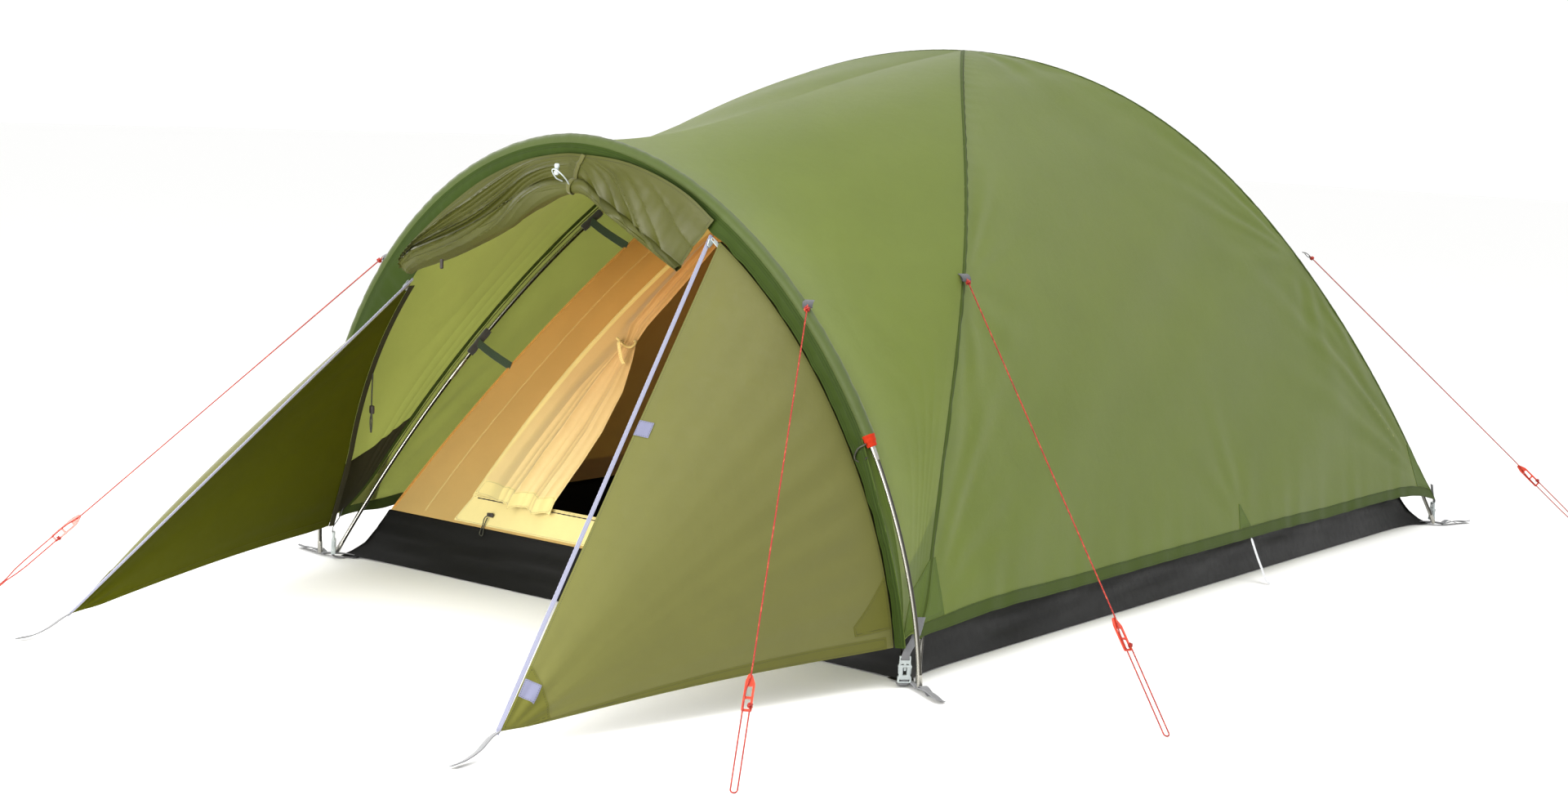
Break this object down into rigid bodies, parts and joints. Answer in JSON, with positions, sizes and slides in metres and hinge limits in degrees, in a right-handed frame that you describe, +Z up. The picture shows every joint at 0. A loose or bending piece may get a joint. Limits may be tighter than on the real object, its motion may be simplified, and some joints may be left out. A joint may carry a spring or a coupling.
{
  "type": "dome tent",
  "caption": "Ridge-pole dome tent with a cloth flysheet over a separate inner tent, a hooped vestibule with a rolled door, buckled pole feet and guy lines with sliding runners.",
  "frame": {"origin": "on the ground under the middle of the groundsheet", "axes": "+Z up, -Y out of the door through the vestibule, +X to the right of someone facing +Y through the door"},
  "size_m": [2.2818, 3.2518, 1.073],
  "materials": {
    "fly_cloth": "satin",
    "sleeve_cloth": "satin",
    "cap_cloth": "matte",
    "vestibule_cloth": "satin",
    "door_cloth": "satin",
    "pole": "polished",
    "tie": "matte",
    "inner_cloth": "matte",
    "inner_trim": "matte",
    "dark_slider": "satin",
    "groundsheet": "satin",
    "webbing": "matte",
    "buckle": "satin",
    "zip_tape": "matte",
    "zip_slider": "satin",
    "elastic": "satin",
    "guy_cord": "matte",
    "line_runner": "gloss"
  },
  "bodies": {
    "tent": {"fly_right_panel": "fly_cloth", "fly_left_panel": "fly_cloth", "fly_rear_panel": "fly_cloth", "fly_front_canopy": "fly_cloth", "arch_sleeve": "sleeve_cloth", "sleeve_cap_right": "cap_cloth", "sleeve_cap_left": "cap_cloth", "main_pole_a": "pole", "main_pole_b": "pole", "arch_pole": "pole", "pole_tie_upper": "tie", "pole_tie_lower": "tie", "arch_lip": "sleeve_cloth", "vestibule_right_panel": "vestibule_cloth", "door_zip_right": "zip_tape", "vestibule_peg_strap_right": "webbing", "vestibule_left_panel": "vestibule_cloth", "door_zip_left": "zip_tape", "vestibule_peg_strap_left": "webbing", "rolled_door": "door_cloth", "door_tie_toggle": "buckle", "inner_right_wall": "inner_cloth", "inner_left_wall": "inner_cloth", "inner_rear_wall": "inner_cloth", "inner_front_wall": "inner_cloth", "inner_door_flap": "inner_trim", "inner_door_tie": "inner_trim", "groundsheet_tub": "groundsheet", "corner_webbing_fr": "webbing", "buckle_body_fr": "buckle", "corner_webbing_fl": "webbing", "buckle_body_fl": "buckle", "corner_webbing_rr": "webbing", "buckle_body_rr": "buckle", "corner_webbing_rl": "webbing", "buckle_body_rl": "buckle", "side_peg_loop_right": "elastic", "side_peg_loop_left": "elastic", "guy_line_arch_right": "guy_cord", "guy_line_arch_left": "guy_cord", "guy_line_front_right": "guy_cord", "guy_line_front_left": "guy_cord", "guy_line_rear_right": "guy_cord", "guy_line_rear_left": "guy_cord"},
    "line_runner_arch_right": {"line_runner_arch_right": "line_runner"},
    "line_runner_arch_left": {"line_runner_arch_left": "line_runner"},
    "line_runner_front_right": {"line_runner_front_right": "line_runner"},
    "line_runner_front_left": {"line_runner_front_left": "line_runner"},
    "line_runner_rear_right": {"line_runner_rear_right": "line_runner"},
    "line_runner_rear_left": {"line_runner_rear_left": "line_runner"},
    "zip_slider_right": {"zip_slider_right": "zip_slider"},
    "zip_slider_left": {"zip_slider_left": "zip_slider"},
    "inner_zip_slider": {"inner_zip_slider": "dark_slider"},
    "buckle_catch_fr": {"buckle_catch_fr": "buckle"},
    "buckle_catch_fl": {"buckle_catch_fl": "buckle"},
    "buckle_catch_rr": {"buckle_catch_rr": "buckle"},
    "buckle_catch_rl": {"buckle_catch_rl": "buckle"}
  },
  "joints": [
    {"name": "line_runner_arch_right_slide", "type": "slide", "parent": "tent", "child": "line_runner_arch_right", "axis": [-0.3804, 0.6458, 0.662], "range_m": [-0.06, 0.3]},
    {"name": "line_runner_arch_left_slide", "type": "slide", "parent": "tent", "child": "line_runner_arch_left", "axis": [0.3804, 0.6458, 0.662], "range_m": [-0.06, 0.3]},
    {"name": "line_runner_front_right_slide", "type": "slide", "parent": "tent", "child": "line_runner_front_right", "axis": [-0.6514, 0.3476, 0.6744], "range_m": [-0.06, 0.3]},
    {"name": "line_runner_front_left_slide", "type": "slide", "parent": "tent", "child": "line_runner_front_left", "axis": [0.6597, 0.3443, 0.668], "range_m": [-0.06, 0.3]},
    {"name": "line_runner_rear_right_slide", "type": "slide", "parent": "tent", "child": "line_runner_rear_right", "axis": [-0.6597, -0.3443, 0.668], "range_m": [-0.06, 0.3]},
    {"name": "line_runner_rear_left_slide", "type": "slide", "parent": "tent", "child": "line_runner_rear_left", "axis": [0.6597, -0.3443, 0.668], "range_m": [-0.06, 0.3]},
    {"name": "zip_slider_right_pull", "type": "slide", "parent": "tent", "child": "zip_slider_right", "axis": [0.193, -0.6897, -0.6979], "range_m": [0, 0.93]},
    {"name": "zip_slider_left_pull", "type": "slide", "parent": "tent", "child": "zip_slider_left", "axis": [-0.1027, -0.776, -0.6223], "range_m": [0, 0.84]},
    {"name": "inner_zip_slider_pull", "type": "slide", "parent": "tent", "child": "inner_zip_slider", "axis": [1, 0, 0], "range_m": [0, 0.66]},
    {"name": "buckle_catch_fr_release", "type": "slide", "parent": "tent", "child": "buckle_catch_fr", "axis": [0, 0, 1], "range_m": [0, 0.024]},
    {"name": "buckle_catch_fl_release", "type": "slide", "parent": "tent", "child": "buckle_catch_fl", "axis": [0, 0, 1], "range_m": [0, 0.024]},
    {"name": "buckle_catch_rr_release", "type": "slide", "parent": "tent", "child": "buckle_catch_rr", "axis": [0, 0, 1], "range_m": [0, 0.024]},
    {"name": "buckle_catch_rl_release", "type": "slide", "parent": "tent", "child": "buckle_catch_rl", "axis": [0, 0, 1], "range_m": [0, 0.024]}
  ]
}
